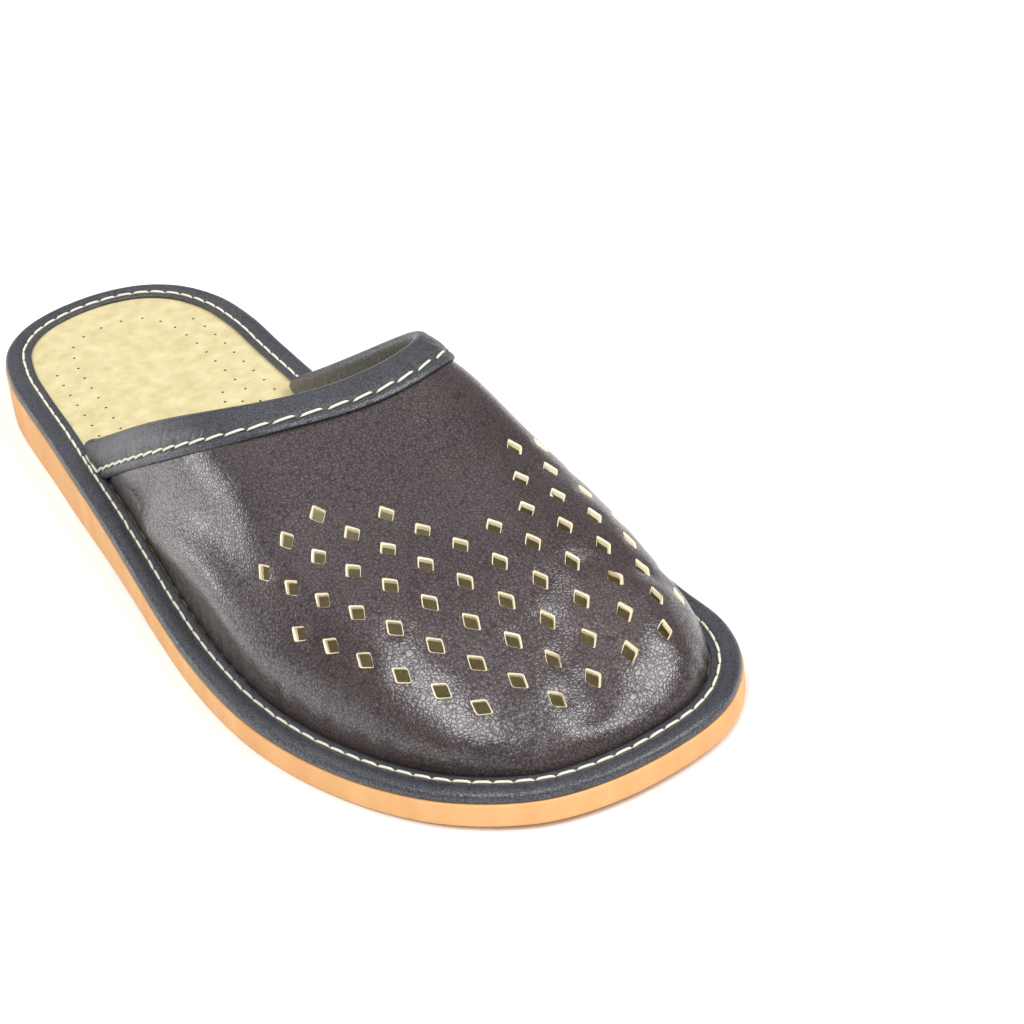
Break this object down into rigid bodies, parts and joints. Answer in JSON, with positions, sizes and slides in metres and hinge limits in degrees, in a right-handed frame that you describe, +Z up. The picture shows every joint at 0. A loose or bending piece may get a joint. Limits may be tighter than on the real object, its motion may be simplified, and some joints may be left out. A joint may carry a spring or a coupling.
{
  "type": "house slipper",
  "caption": "Backless leather house slipper on a foam wedge sole, with a perforated closed-toe vamp.",
  "frame": {"origin": "centre of the slipper's bounding box, on the floor under the sole", "axes": "+X towards the toe, +Y towards the inner side of the foot, +Z up"},
  "size_m": [0.29, 0.1143, 0.0619],
  "materials": {
    "foam": "matt",
    "board": "matt",
    "binding": "satin",
    "vamp": "semi-gloss"
  },
  "bodies": {
    "root": {"sole": "foam", "insole": "board", "rand": "binding", "upper": "vamp", "collar_binding": "binding"}
  },
  "joints": []
}
